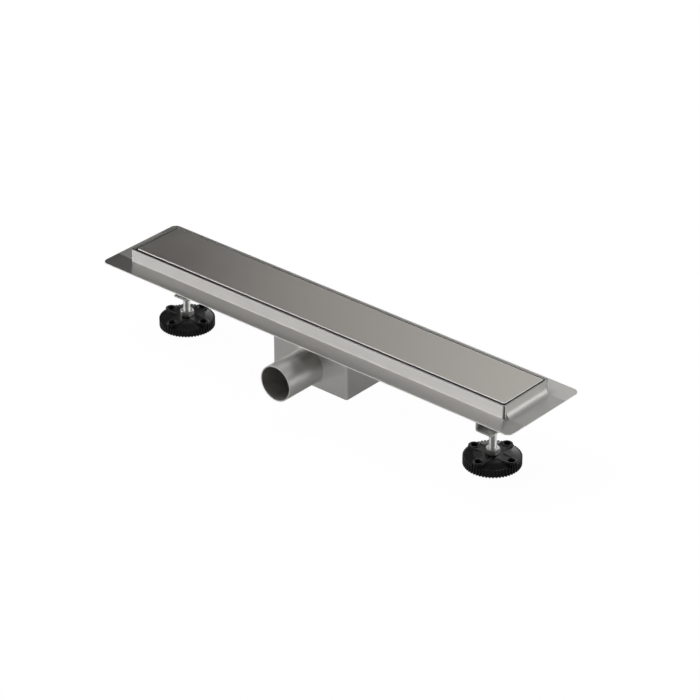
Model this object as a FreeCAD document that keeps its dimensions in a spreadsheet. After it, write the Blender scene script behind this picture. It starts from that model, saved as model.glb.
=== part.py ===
import FreeCAD, Part
import math
import os
import re
import Sketcher

# Linear shower drain in folded stainless sheet, on two levelling feet.
# Origin: centre of the cover's top face. X runs along the channel, Z is up,
# and the outlet pipe points along -Y.

# Driving sizes in millimetres

SIZES = [
    ("collar_length", 642, "upstand round the cover, outside"),
    ("collar_width", 90, "upstand round the cover, outside"),
    ("collar_rise", 18, "collar above the flange"),
    ("flange_end", 29, "flange beyond the collar, at both ends"),
    ("flange_side", 27, "flange beyond the collar, front and back"),
    ("sheet", 1.2, "stainless sheet"),
    ("side_bend", 1, "inner radius of the long bends"),
    ("end_bend", 8, "inner radius of the end bends"),
    ("flange_corner", 9, "radius of the flange's corners"),
    ("collar_corner", 3.5, "outer radius of the collar's upright corners"),
    ("seam_wrap", 4, "long sides' sheet, round the collar's corners"),
    ("seam_gap", 0.4, "open seam between long side and end of the collar"),
    ("seam_relief", 2.2, "relief hole at the seam's foot"),
    ("lip_step", 0.3, "trough wall below the collar's edge"),
    ("trough_end_depth", 30, "underside of the trough at its ends"),
    ("trough_depth", 36, "underside of the trough over the sump"),
    ("trough_bend", 2.5, "inner radius of the trough's bends and corners"),
    ("sump_length", 128, "outside, along the channel"),
    ("sump_depth", 90.3, "underside of the sump"),
    ("sump_bend", 2.5, "radius of the sump's upright corners"),
    ("sump_edge", 1.5, "radius of the sump's bottom edges"),
    ("outlet_diameter", 50, "outlet pipe, outside"),
    ("outlet_wall", 1.5, "outlet pipe's wall"),
    ("outlet_lift", 6, "outlet pipe above the sump's underside"),
    ("outlet_reach", 111.5, "outlet mouth from the middle of the drain"),
    ("outlet_flare", 1.6, "weld fillet round the outlet's root"),
    ("cover_gap", 3, "open joint between cover and collar"),
    ("cover_sheet", 1.5, "cover's sheet"),
    ("cover_drop", 12, "height of the cover's folded rim"),
    ("cover_edge", 1, "radius of the cover's top edges"),
    ("cover_back_shift", 1.2, "cover behind the middle line, within its play"),
    ("cover_corner", 2.4, "radius of the cover's corners"),
    ("rest_pad", 2, "rubber strip under the cover's rim"),
    ("rest_pad_width", 12, "rubber strip, along the channel"),
    ("rest_width", 16, "cross rail, along the channel"),
    ("rest_height", 9, "cross rail, height"),
    ("rest_end_inset", 54, "outer cross rails from the collar's end"),
    ("rest_sump_offset", 38, "inner cross rails from the sump's side"),
    ("trap_hole", 68, "hole for the trap in the trough's floor"),
    ("trap_flange", 78, "trap insert's flange, diameter"),
    ("trap_flange_thickness", 2.5, "trap insert's flange"),
    ("trap_wall", 2, "moulded walls of the trap"),
    ("seal_thickness", 2, "seal under the trap's flange"),
    ("seal_lip", 5, "seal's lip below the trough's floor"),
    ("seal_width", 3, "seal's lip, across"),
    ("neck_depth", 9, "straight neck of the insert under its flange"),
    ("funnel_depth", 7, "funnel between neck and dip tube"),
    ("dip_tube", 42, "dip tube, outside diameter"),
    ("dip_gap", 4.8, "dip tube's end above the cup's floor"),
    ("cup_diameter", 64, "trap cup, outside"),
    ("cup_height", 29.8, "cup to its rim, which sets the level of the water"),
    ("cup_bottom_gap", 2.3, "between cup and sump floor"),
    ("cup_bevel", 3, "slope round the cup's floor"),
    ("fin_thickness", 2, "fins that hold the cup"),
    ("fin_margin", 2, "fins short of the cup's rim and of the dip tube's end"),
    ("fin_play", 0.1, "between fins and cup"),
    ("fin_count", 3, "fins round the dip tube"),
    ("sieve_rim", 66, "hair sieve's rim, diameter"),
    ("sieve_gap", 0.8, "between sieve basket and insert neck"),
    ("sieve_wall", 1.5, "sieve's wall"),
    ("sieve_depth", 8, "sieve's basket below its rim"),
    ("sieve_slot", 3, "sieve's slots, across"),
    ("slot_start", 9, "slots' inner ends from the sieve's middle"),
    ("slot_margin", 2.5, "slots' outer ends from the basket's wall"),
    ("slot_count", 12, "slots round the sieve"),
    ("sieve_knob", 9, "sieve's knob, diameter"),
    ("knob_rise", 6, "knob above the rim"),
    ("install_height", 120, "floor to the cover's top"),
    ("foot_inset", 49.7, "feet from the collar's end"),
    ("right_foot_offset", -2.5, "right foot from the middle line"),
    ("left_foot_offset", 8.8, "left foot from the middle line"),
    ("right_plate_depth", 69.5, "underside of the right bracket"),
    ("left_plate_depth", 76.5, "underside of the left bracket"),
    ("bracket_sheet", 2, "bracket's sheet"),
    ("bracket_reach", 12, "plate's free edge from the stud's axis"),
    ("bracket_front", 19.5, "plate in front of the stud's axis"),
    ("bracket_back", 12, "plate behind the stud's axis"),
    ("bracket_bend", 1, "inner radius of the bracket's bends"),
    ("weld_nut_gap", 0.2, "weld nut clear of the bracket's bend"),
    ("bracket_tab", 15, "tab welded under the trough"),
    ("stud_diameter", 10, "threaded stud"),
    ("stud_length", 70, "threaded stud"),
    ("stud_chamfer", 1, "stud's ends"),
    ("thread_clearance", 0.1, "round the stud where it turns"),
    ("nut_across", 17, "nuts across the flats"),
    ("nut_height", 8, "nuts"),
    ("swivel_gap", 0.3, "under the lock nut and under the stud"),
    ("stud_seat", 10, "depth of the stud in the foot"),
    ("disc_diameter", 76.4, "foot over its teeth"),
    ("disc_rim", 10.6, "height of the toothed rim"),
    ("disc_height", 14.4, "foot to the top of its hub"),
    ("disc_shoulder", 2.4, "flat edge round the foot's dome"),
    ("dome_crown", 1, "dome above the straight line from hub to shoulder"),
    ("hub_diameter", 28, "foot's hub"),
    ("arm_width", 15.6, "arms with the screw holes"),
    ("screw_circle", 59.6, "screw holes' circle"),
    ("screw_hole", 9, "screw holes"),
    ("screw_holes", 4, "screw holes in each foot"),
    ("tooth_count", 54, "teeth round each foot"),
    ("tooth_groove", 2.1, "grooves between the teeth, across at the rim"),
    ("tooth_root", 1.5, "grooves between the teeth, across at the bottom"),
    ("tooth_depth", 1.9, "grooves between the teeth, depth"),
]

# Places worked out from the driving sizes

COLLAR_X = "(collar_length / 2)"
COLLAR_Y = "(collar_width / 2)"
FLANGE_X = "(collar_length / 2 + flange_end)"
FLANGE_Y = "(collar_width / 2 + flange_side)"
FLANGE_TOP = "(-collar_rise)"
FLANGE_UNDER = "(-collar_rise - sheet)"
TROUGH_X = "(collar_length / 2 - sheet)"
TROUGH_Y = "(collar_width / 2 - sheet)"
CHANNEL_X = "(collar_length / 2 - 2 * sheet)"
CHANNEL_Y = "(collar_width / 2 - 2 * sheet)"
SUMP_X = "(sump_length / 2)"
SEAT = "(-trough_depth + sheet)"
INSERT_UNDER = "(-trough_depth + sheet + seal_thickness)"
INSERT_TOP = "(-trough_depth + sheet + seal_thickness + trap_flange_thickness)"
NECK_R = "(trap_hole / 2 - seal_width)"
FALL = "((trough_depth - trough_end_depth) / (collar_length / 2 - sheet - sump_length / 2))"
COVER_RIM = "(-cover_drop)"
REST_TOP = "(-cover_drop - rest_pad)"
OUTLET_AXIS = "(-sump_depth + outlet_lift + outlet_diameter / 2)"
CUP_BOTTOM = "(-sump_depth + sheet + cup_bottom_gap)"
CUP_RIM = "(-sump_depth + sheet + cup_bottom_gap + cup_height)"
DIP_END = "(-sump_depth + sheet + cup_bottom_gap + trap_wall + dip_gap)"
FLOOR = "(-install_height)"
HUB_TOP = "(-install_height + disc_height)"
FOOT_X = "(collar_length / 2 - foot_inset)"


class Model:
    """The document, its sheet of sizes and the ways to make a sub-part."""

    def __init__(self, name):
        self.doc = FreeCAD.newDocument(name)
        self.sheet = self.doc.addObject("Spreadsheet::Sheet", "Sizes")
        for row, (alias, size, note) in enumerate(SIZES, start=1):
            self.sheet.set(f"A{row}", alias)
            self.sheet.set(f"B{row}", str(size))
            self.sheet.set(f"C{row}", note)
            self.sheet.setAlias(f"B{row}", alias)
        self.doc.recompute()
        self.aliases = {alias for alias, size, note in SIZES}
        self.parts = []

    def bind(self, text):
        """Expression in which each alias names its cell."""
        return re.sub(r"[a-z][a-z_]*", lambda m: f"Sizes.{m[0]}" if m[0] in self.aliases else m[0], text)

    def value(self, text):
        """Number that an expression gives with the sizes as they are."""
        return float(self.sheet.evalExpression(self.bind(text)))

    def body(self, label):
        """Body of one sub-part."""
        body = self.doc.addObject("PartDesign::Body", label)
        body.Label = label
        self.parts.append(body)
        return body

    def sketch(self, body, role, name, offset="0"):
        """Sketch on one of the body's own planes, moved along its normal."""
        sketch = body.newObject("Sketcher::SketchObject", name)
        plane = next(f for f in body.Origin.OriginFeatures if f.Role == role)
        sketch.AttachmentSupport = [(plane, "")]
        sketch.MapMode = "FlatFace"
        sketch.setExpression("AttachmentOffset.Base.z", self.bind(offset))
        return sketch

    def place(self, body, x="0", y="0", z="0", turned=False):
        """Put a body in the drain, turned half round its upright axis or not."""
        body.Placement = FreeCAD.Placement(FreeCAD.Vector(), FreeCAD.Rotation(180 if turned else 0, 0, 0))
        for axis, text in zip("xyz", (x, y, z)):
            body.setExpression(f"Placement.Base.{axis}", self.bind(text))

    def dimension(self, sketch, constraint, text):
        """Add a constraint and tie it to an expression."""
        index = sketch.addConstraint(constraint)
        sketch.setExpression(f"Constraints[{index}]", self.bind(text))

    def outline(self, sketch, points):
        """Closed outline through points (x, y) or (x, y, corner radius)."""
        corners = [(self.value(x), self.value(y)) for x, y, *radius in points]
        ends = list(zip(corners, corners[1:] + corners[:1]))
        lines = [
            sketch.addGeometry(Part.LineSegment(FreeCAD.Vector(*a, 0), FreeCAD.Vector(*b, 0)), False)
            for a, b in ends
        ]
        for line, following in zip(lines, lines[1:] + lines[:1]):
            sketch.addConstraint(Sketcher.Constraint("Coincident", line, 2, following, 1))
        for line, corner, (x, y, *radius) in zip(lines, corners, points):
            self.dimension(sketch, Sketcher.Constraint("DistanceX", -1, 1, line, 1, corner[0]), x)
            self.dimension(sketch, Sketcher.Constraint("DistanceY", -1, 1, line, 1, corner[1]), y)
        for i, (x, y, *radius) in enumerate(points):
            if radius:
                self.round_corner(sketch, lines[i - 1], lines[i], ends[i - 1][0], ends[i][1], radius[0])

    def round_corner(self, sketch, line, following, start, end, radius):
        """Arc between two lines of an outline."""
        first_new = sketch.GeometryCount
        near, far = FreeCAD.Vector(*start, 0), FreeCAD.Vector(*end, 0)
        sketch.fillet(line, following, near, far, self.value(radius), True, True)
        added = range(first_new, sketch.GeometryCount)
        arc = next(g for g in added if isinstance(sketch.Geometry[g], Part.ArcOfCircle))
        self.dimension(sketch, Sketcher.Constraint("Radius", arc, self.value(radius)), radius)

    def rectangle(self, sketch, half_x, half_y, radius=None):
        """Rectangle about the sketch's origin."""
        corner = [radius] if radius else []
        signs = [("-", "-"), ("", "-"), ("", ""), ("-", "")]
        self.outline(sketch, [(f"{sx}({half_x})", f"{sy}({half_y})", *corner) for sx, sy in signs])

    def circle(self, sketch, diameter, x="0", y="0"):
        """Circle at a place of the sketch."""
        centre = FreeCAD.Vector(self.value(x), self.value(y), 0)
        ring = Part.Circle(centre, FreeCAD.Vector(0, 0, 1), self.value(diameter) / 2)
        index = sketch.addGeometry(ring, False)
        self.dimension(sketch, Sketcher.Constraint("Diameter", index, self.value(diameter)), diameter)
        self.dimension(sketch, Sketcher.Constraint("DistanceX", -1, 1, index, 3, centre.x), x)
        self.dimension(sketch, Sketcher.Constraint("DistanceY", -1, 1, index, 3, centre.y), y)

    def pad(self, body, sketch, length, midplane=False, reverse=False):
        """Material along the sketch's normal."""
        pad = body.newObject("PartDesign::Pad", f"{sketch.Name}_pad")
        pad.Profile = sketch
        pad.Midplane = midplane
        pad.Reversed = reverse
        pad.setExpression("Length", self.bind(length))
        self.doc.recompute()
        return pad

    def pocket(self, body, sketch, length, midplane=False, reverse=False):
        """Cut against the sketch's normal, which has to take material away."""
        before = body.Shape.Volume
        pocket = body.newObject("PartDesign::Pocket", f"{sketch.Name}_pocket")
        pocket.Profile = sketch
        pocket.Midplane = midplane
        pocket.Reversed = reverse
        pocket.setExpression("Length", self.bind(length))
        self.doc.recompute()
        if not body.Shape.Volume < before:
            raise RuntimeError(f"{pocket.Name} cuts nothing")
        return pocket

    def turn(self, body, sketch):
        """Material turned about the sketch's upright axis."""
        turn = body.newObject("PartDesign::Revolution", f"{sketch.Name}_turn")
        turn.Profile = sketch
        turn.ReferenceAxis = (sketch, ["V_Axis"])
        turn.Angle = 360
        self.doc.recompute()
        return turn

    def polar(self, body, feature, sketch, count):
        """Copies of a feature round the normal of its sketch."""
        pattern = body.newObject("PartDesign::PolarPattern", f"{feature.Name}_pattern")
        pattern.Originals = [feature]
        pattern.Axis = (sketch, ["N_Axis"])
        pattern.Angle = 360
        pattern.setExpression("Occurrences", self.bind(count))
        body.Tip = pattern
        self.doc.recompute()
        return pattern

    def soften(self, body, feature, radius, wanted):
        """Round the edges of a feature that pass a test on their middle point and direction."""
        names = [f"Edge{i}" for i, edge in enumerate(feature.Shape.Edges, start=1) if wanted(*middle(edge))]
        fillet = body.newObject("PartDesign::Fillet", f"{feature.Name}_soft")
        fillet.Base = (feature, names)
        fillet.setExpression("Radius", self.bind(radius))
        self.doc.recompute()
        return fillet


def middle(edge):
    """Middle point of an edge and the way from its one end to the other."""
    start, end = edge.FirstParameter, edge.LastParameter
    way = edge.valueAt(end) - edge.valueAt(start)
    if way.Length > 0:
        way.normalize()
    return edge.valueAt((start + end) / 2), way


def near(a, b):
    """Whether two lengths are the same to a hundredth of a millimetre."""
    return abs(a - b) < 0.01


# Flange and collar: four folded strips, butt-welded where they meet. The front and back strips
# have a tight bend, wrap round the collar's corners and carry the flange's flat corners. The end
# strips have a wide bend.

def bent_strip(model, body, role, sign, collar_half, flange_half, bend, length):
    """Flange strip and collar wall with a bend between them, along one side."""
    profile = model.sketch(body, role, "strip_profile")
    model.outline(profile, [
        (f"{sign}({collar_half} - sheet)", FLANGE_UNDER, f"{bend} + sheet"),
        (f"{sign}({collar_half} - sheet)", "0"),
        (f"{sign}{collar_half}", "0"),
        (f"{sign}{collar_half}", FLANGE_TOP, bend),
        (f"{sign}{flange_half}", FLANGE_TOP),
        (f"{sign}{flange_half}", FLANGE_UNDER),
    ])
    model.pad(body, profile, length, midplane=True)


def flange_corner(model, body, sx, sy):
    """Flat corner of the flange and the collar's wall round one corner, with the seam's relief hole."""
    wall = model.sketch(body, "XY_Plane", "corner_wall", FLANGE_UNDER)
    model.outline(wall, [
        (f"{sx}({COLLAR_X} - seam_wrap)", f"{sy}{COLLAR_Y}"),
        (f"{sx}{COLLAR_X}", f"{sy}{COLLAR_Y}", "collar_corner"),
        (f"{sx}{COLLAR_X}", f"{sy}({COLLAR_Y} - seam_wrap)"),
        (f"{sx}{TROUGH_X}", f"{sy}({COLLAR_Y} - seam_wrap)"),
        (f"{sx}{TROUGH_X}", f"{sy}{TROUGH_Y}", "collar_corner - sheet"),
        (f"{sx}({COLLAR_X} - seam_wrap)", f"{sy}{TROUGH_Y}"),
    ])
    model.pad(body, wall, "collar_rise + sheet")
    flat = model.sketch(body, "XY_Plane", "corner_flat", FLANGE_UNDER)
    model.outline(flat, [
        (f"{sx}({COLLAR_X} - seam_wrap)", f"{sy}({COLLAR_Y} - side_bend)"),
        (f"{sx}({COLLAR_X} - sheet / 2)", f"{sy}({COLLAR_Y} - side_bend)"),
        (f"{sx}({COLLAR_X} - sheet / 2)", f"{sy}({COLLAR_Y} - seam_wrap - seam_gap)"),
        (f"{sx}{FLANGE_X}", f"{sy}({COLLAR_Y} - seam_wrap - seam_gap)"),
        (f"{sx}{FLANGE_X}", f"{sy}{FLANGE_Y}", "flange_corner"),
        (f"{sx}({COLLAR_X} - seam_wrap)", f"{sy}{FLANGE_Y}"),
    ])
    model.pad(body, flat, "sheet")
    relief = model.sketch(body, "XY_Plane", "seam_relief", FLANGE_TOP)
    model.circle(relief, "seam_relief", x=f"{sx}{COLLAR_X}", y=f"{sy}({COLLAR_Y} - seam_wrap - seam_gap / 2)")
    model.pocket(body, relief, "2 * sheet", midplane=True)


def flange_side(model, label, sign):
    """Front or back strip with its two corners."""
    body = model.body(label)
    bent_strip(model, body, "YZ_Plane", sign, COLLAR_Y, FLANGE_Y, "side_bend", f"2 * ({COLLAR_X} - seam_wrap)")
    for sx in ("-", ""):
        flange_corner(model, body, sx, sign)


def flange_end(model, label, sign):
    """Left or right strip between the corners."""
    body = model.body(label)
    length = f"2 * ({COLLAR_Y} - seam_wrap - seam_gap)"
    bent_strip(model, body, "XZ_Plane", sign, COLLAR_X, FLANGE_X, "end_bend", length)


# Trough: open channel whose floor falls from both ends to a flat middle with the trap's hole

def trough(model):
    body = model.body("trough")

    rim = model.value("-lip_step")

    def wall_edges(half_x, half_y):
        """Test for the bent edges of one skin: its floor's border and its upright corners."""
        on_x = model.value(half_x)
        on_y = model.value(half_y)

        def wanted(point, along):
            return (near(abs(point.x), on_x) or near(abs(point.y), on_y)) and point.z < rim - 1

        return wanted

    outside = model.sketch(body, "XZ_Plane", "trough_outside")
    model.outline(outside, [
        (f"-{TROUGH_X}", "-lip_step"),
        (f"-{TROUGH_X}", "-trough_end_depth"),
        (f"-{SUMP_X}", "-trough_depth"),
        (SUMP_X, "-trough_depth"),
        (TROUGH_X, "-trough_end_depth"),
        (TROUGH_X, "-lip_step"),
    ])
    model.pad(body, outside, f"2 * {TROUGH_Y}", midplane=True)
    inside = model.sketch(body, "XZ_Plane", "trough_inside")
    model.outline(inside, [
        (f"-{CHANNEL_X}", "0"),
        (f"-{CHANNEL_X}", "-trough_end_depth + sheet"),
        (f"-{SUMP_X}", "-trough_depth + sheet"),
        (SUMP_X, "-trough_depth + sheet"),
        (CHANNEL_X, "-trough_end_depth + sheet"),
        (CHANNEL_X, "0"),
    ])
    hollow = model.pocket(body, inside, f"2 * {CHANNEL_Y}", midplane=True)
    bent_inside = model.soften(body, hollow, "trough_bend", wall_edges(CHANNEL_X, CHANNEL_Y))
    model.soften(body, bent_inside, "trough_bend + sheet", wall_edges(TROUGH_X, TROUGH_Y))
    hole = model.sketch(body, "XY_Plane", "trap_opening")
    model.circle(hole, "trap_hole")
    model.pocket(body, hole, "trough_depth + sheet")


# Sump: folded box under the trough, with its front and back walls lapped up the trough's sides

def sump_box(model):
    body = model.body("sump_box")
    outside = model.sketch(body, "XY_Plane", "sump_outside", "-trough_depth")
    model.rectangle(outside, SUMP_X, COLLAR_Y, "sump_bend + sheet")
    block = model.pad(body, outside, "sump_depth - trough_depth", reverse=True)
    floor = model.value("-sump_depth")
    model.soften(body, block, "sump_edge", lambda point, along: near(point.z, floor))
    inside = model.sketch(body, "XY_Plane", "sump_inside", "-trough_depth")
    model.rectangle(inside, f"{SUMP_X} - sheet", f"{COLLAR_Y} - sheet", "sump_bend")
    model.pocket(body, inside, "sump_depth - trough_depth - sheet")
    for side, sign in (("front", "-"), ("back", "")):
        lap = model.sketch(body, "XY_Plane", f"{side}_lap", "-trough_depth - sheet")
        model.outline(lap, [
            (f"-({SUMP_X} - sump_bend - sheet)", f"{sign}{TROUGH_Y}"),
            (f"{SUMP_X} - sump_bend - sheet", f"{sign}{TROUGH_Y}"),
            (f"{SUMP_X} - sump_bend - sheet", f"{sign}{COLLAR_Y}"),
            (f"-({SUMP_X} - sump_bend - sheet)", f"{sign}{COLLAR_Y}"),
        ])
        model.pad(body, lap, "trough_depth - collar_rise")
    hole = model.sketch(body, "XZ_Plane", "outlet_opening", "collar_width / 4")
    model.circle(hole, "outlet_diameter", y=OUTLET_AXIS)
    model.pocket(body, hole, "collar_width / 2", reverse=True)


# Outlet pipe: turned about its own axis, then laid along -Y with its root in the sump's front wall

def outlet_pipe(model):
    body = model.body("outlet_pipe")
    profile = model.sketch(body, "XZ_Plane", "outlet_profile")
    model.outline(profile, [
        ("outlet_diameter / 2 - outlet_wall", TROUGH_Y),
        ("outlet_diameter / 2", TROUGH_Y),
        ("outlet_diameter / 2", COLLAR_Y),
        ("outlet_diameter / 2 + outlet_flare", COLLAR_Y),
        ("outlet_diameter / 2", f"{COLLAR_Y} + outlet_flare"),
        ("outlet_diameter / 2", "outlet_reach"),
        ("outlet_diameter / 2 - outlet_wall", "outlet_reach"),
    ])
    model.turn(body, profile)
    body.Placement = FreeCAD.Placement(FreeCAD.Vector(), FreeCAD.Rotation(FreeCAD.Vector(1, 0, 0), 90))
    body.setExpression("Placement.Base.z", model.bind(OUTLET_AXIS))


# Cover: shallow tray turned upside down, its folded rim standing on rubber strips

def cover_plate(model):
    body = model.body("cover_plate")
    outside = model.sketch(body, "XY_Plane", "cover_outside")
    model.rectangle(outside, f"{CHANNEL_X} - cover_gap", f"{CHANNEL_Y} - cover_gap", "cover_corner")
    block = model.pad(body, outside, "cover_drop", reverse=True)
    model.soften(body, block, "cover_edge", lambda point, along: near(point.z, 0))
    inside = model.sketch(body, "XY_Plane", "cover_inside", COVER_RIM)
    half_x = f"{CHANNEL_X} - cover_gap - cover_sheet"
    half_y = f"{CHANNEL_Y} - cover_gap - cover_sheet"
    model.rectangle(inside, half_x, half_y, "cover_corner - cover_sheet")
    model.pocket(body, inside, "cover_drop - cover_sheet", reverse=True)
    model.place(body, y="cover_back_shift")


# Cross rails between the trough's walls, each with a rubber strip that carries the cover's rim

def cover_rest(model, number, place):
    rail = model.body(f"cover_rail_{number}")
    profile = model.sketch(rail, "XZ_Plane", "rail_profile")
    model.outline(profile, [
        ("-rest_width / 2", "-rest_height"),
        ("-rest_width / 2", "0", "side_bend + sheet"),
        ("rest_width / 2", "0", "side_bend + sheet"),
        ("rest_width / 2", "-rest_height"),
        ("rest_width / 2 - sheet", "-rest_height"),
        ("rest_width / 2 - sheet", "-sheet", "side_bend"),
        ("-rest_width / 2 + sheet", "-sheet", "side_bend"),
        ("-rest_width / 2 + sheet", "-rest_height"),
    ])
    model.pad(rail, profile, f"2 * {CHANNEL_Y}", midplane=True)
    model.place(rail, x=place, z=REST_TOP)
    strip = model.body(f"rest_strip_{number}")
    outline = model.sketch(strip, "XY_Plane", "strip_outline")
    model.rectangle(outline, "rest_pad_width / 2", f"{CHANNEL_Y} - cover_gap")
    model.pad(strip, outline, "rest_pad")
    model.place(strip, x=place, z=REST_TOP)


# Trap insert: flange on its seal, neck, funnel and dip tube, with fins that hold the cup

def trap_insert(model):
    body = model.body("trap_insert")
    profile = model.sketch(body, "XZ_Plane", "insert_profile")
    neck_end = f"{INSERT_UNDER} - neck_depth"
    tube_start = f"{INSERT_UNDER} - neck_depth - funnel_depth"
    model.outline(profile, [
        (f"{NECK_R} - trap_wall", INSERT_TOP),
        (f"{NECK_R} - trap_wall", neck_end),
        ("dip_tube / 2 - trap_wall", tube_start),
        ("dip_tube / 2 - trap_wall", DIP_END),
        ("dip_tube / 2", DIP_END),
        ("dip_tube / 2", f"{tube_start} - trap_wall / 2"),
        (NECK_R, f"{neck_end} - trap_wall / 2"),
        (NECK_R, INSERT_UNDER),
        ("trap_flange / 2", INSERT_UNDER),
        ("trap_flange / 2", INSERT_TOP),
    ])
    model.turn(body, profile)
    fin = model.sketch(body, "XY_Plane", "fin", f"{DIP_END} + fin_margin")
    model.outline(fin, [
        ("dip_tube / 2 - trap_wall / 2", "-fin_thickness / 2"),
        ("cup_diameter / 2 - trap_wall - fin_play", "-fin_thickness / 2"),
        ("cup_diameter / 2 - trap_wall - fin_play", "fin_thickness / 2"),
        ("dip_tube / 2 - trap_wall / 2", "fin_thickness / 2"),
    ])
    first = model.pad(body, fin, f"{CUP_RIM} - {DIP_END} - 2 * fin_margin")
    model.polar(body, first, fin, "fin_count")


def trap_seal(model):
    body = model.body("trap_seal")
    profile = model.sketch(body, "XZ_Plane", "seal_profile")
    model.outline(profile, [
        (NECK_R, INSERT_UNDER),
        ("trap_flange / 2", INSERT_UNDER),
        ("trap_flange / 2", SEAT),
        ("trap_hole / 2", SEAT),
        (f"{NECK_R} + seal_width / 3", "-trough_depth - seal_lip"),
        (NECK_R, "-trough_depth - seal_lip"),
    ])
    model.turn(body, profile)


def trap_cup(model):
    body = model.body("trap_cup")
    profile = model.sketch(body, "XZ_Plane", "cup_profile")
    model.outline(profile, [
        ("0", CUP_BOTTOM),
        ("cup_diameter / 2 - cup_bevel", CUP_BOTTOM),
        ("cup_diameter / 2", f"{CUP_BOTTOM} + cup_bevel"),
        ("cup_diameter / 2", CUP_RIM),
        ("cup_diameter / 2 - trap_wall", CUP_RIM),
        ("cup_diameter / 2 - trap_wall", f"{CUP_BOTTOM} + trap_wall + cup_bevel"),
        ("cup_diameter / 2 - trap_wall - cup_bevel", f"{CUP_BOTTOM} + trap_wall"),
        ("0", f"{CUP_BOTTOM} + trap_wall"),
    ])
    model.turn(body, profile)


# Hair sieve: round basket that drops into the insert's neck, with a knob to lift it by

def hair_sieve(model):
    body = model.body("hair_sieve")
    basket = f"({NECK_R} - trap_wall - sieve_gap)"
    profile = model.sketch(body, "XZ_Plane", "sieve_profile")
    model.outline(profile, [
        ("0", f"{INSERT_TOP} - sieve_depth"),
        (basket, f"{INSERT_TOP} - sieve_depth"),
        (basket, INSERT_TOP),
        ("sieve_rim / 2", INSERT_TOP),
        ("sieve_rim / 2", f"{INSERT_TOP} + sieve_wall"),
        (f"{basket} - sieve_wall", f"{INSERT_TOP} + sieve_wall"),
        (f"{basket} - sieve_wall", f"{INSERT_TOP} - sieve_depth + sieve_wall"),
        ("sieve_knob / 2", f"{INSERT_TOP} - sieve_depth + sieve_wall"),
        ("sieve_knob / 2", f"{INSERT_TOP} + knob_rise"),
        ("0", f"{INSERT_TOP} + knob_rise"),
    ])
    model.turn(body, profile)
    slot = model.sketch(body, "XY_Plane", "sieve_slot", INSERT_TOP)
    slot_end = f"{basket} - sieve_wall - slot_margin"
    model.outline(slot, [
        ("slot_start", "-sieve_slot / 2"),
        (slot_end, "-sieve_slot / 2"),
        (slot_end, "sieve_slot / 2"),
        ("slot_start", "sieve_slot / 2"),
    ])
    first = model.pocket(body, slot, "sieve_depth + sieve_wall")
    model.polar(body, first, slot, "slot_count")


# Bracket: plate for the stud, wall up to the trough and a tab along the trough's sloping underside

def bracket(model, side, plate_depth, place_y, turned):
    body = model.body(f"{side}_bracket")
    wall = "(-(nut_across / sqrt(3) + weld_nut_gap + bracket_bend + bracket_sheet))"

    def underside(x):
        """Height of the trough's underside at a distance from the stud's axis."""
        return f"(-trough_end_depth - ({TROUGH_X} - {FOOT_X} - ({x})) * {FALL})"

    profile = model.sketch(body, "XZ_Plane", "bracket_profile", "bracket_front")
    inner = f"{wall} + bracket_sheet"
    tab = f"{wall} - bracket_tab"
    model.outline(profile, [
        ("bracket_reach", f"-{plate_depth}"),
        ("bracket_reach", f"-{plate_depth} + bracket_sheet"),
        (inner, f"-{plate_depth} + bracket_sheet", "bracket_bend"),
        (inner, underside(inner), "bracket_bend + bracket_sheet"),
        (tab, underside(tab)),
        (tab, f"{underside(tab)} - bracket_sheet"),
        (wall, f"{underside(wall)} - bracket_sheet", "bracket_bend"),
        (wall, f"-{plate_depth}", "bracket_bend + bracket_sheet"),
    ])
    model.pad(body, profile, "bracket_front + bracket_back", reverse=True)
    hole = model.sketch(body, "XY_Plane", "stud_hole", f"-{plate_depth} + 2 * bracket_sheet")
    model.circle(hole, "stud_diameter + 2 * thread_clearance")
    model.pocket(body, hole, "3 * bracket_sheet")
    model.place(body, x=f"-{FOOT_X}" if turned else FOOT_X, y=place_y, turned=turned)


def hexagon(model, sketch, corner_at):
    """Hexagon about the origin with its first corner at an angle."""
    angles = [corner_at + 60 * k for k in range(6)]
    reach = "nut_across / sqrt(3)"
    model.outline(sketch, [(f"{reach} * cos({angle}deg)", f"{reach} * sin({angle}deg)") for angle in angles])


def nut(model, label, corner_at, bore, x, y, z):
    """Hexagon nut, standing on its underside at z."""
    body = model.body(label)
    outline = model.sketch(body, "XY_Plane", "nut_outline")
    hexagon(model, outline, corner_at)
    model.pad(body, outline, "nut_height")
    hole = model.sketch(body, "XY_Plane", "nut_bore", "nut_height")
    model.circle(hole, bore)
    model.pocket(body, hole, "nut_height")
    model.place(body, x=x, y=y, z=z)


def stud(model, side, x, y):
    body = model.body(f"{side}_stud")
    profile = model.sketch(body, "XZ_Plane", "stud_profile")
    foot_end = f"({HUB_TOP} - stud_seat)"
    model.outline(profile, [
        ("0", foot_end),
        ("stud_diameter / 2 - stud_chamfer", foot_end),
        ("stud_diameter / 2", f"{foot_end} + stud_chamfer"),
        ("stud_diameter / 2", f"{foot_end} + stud_length - stud_chamfer"),
        ("stud_diameter / 2 - stud_chamfer", f"{foot_end} + stud_length"),
        ("0", f"{foot_end} + stud_length"),
    ])
    model.turn(body, profile)
    model.place(body, x=x, y=y)


# Foot: domed disc with a toothed rim, and four flat arms that end in screw eyes

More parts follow.
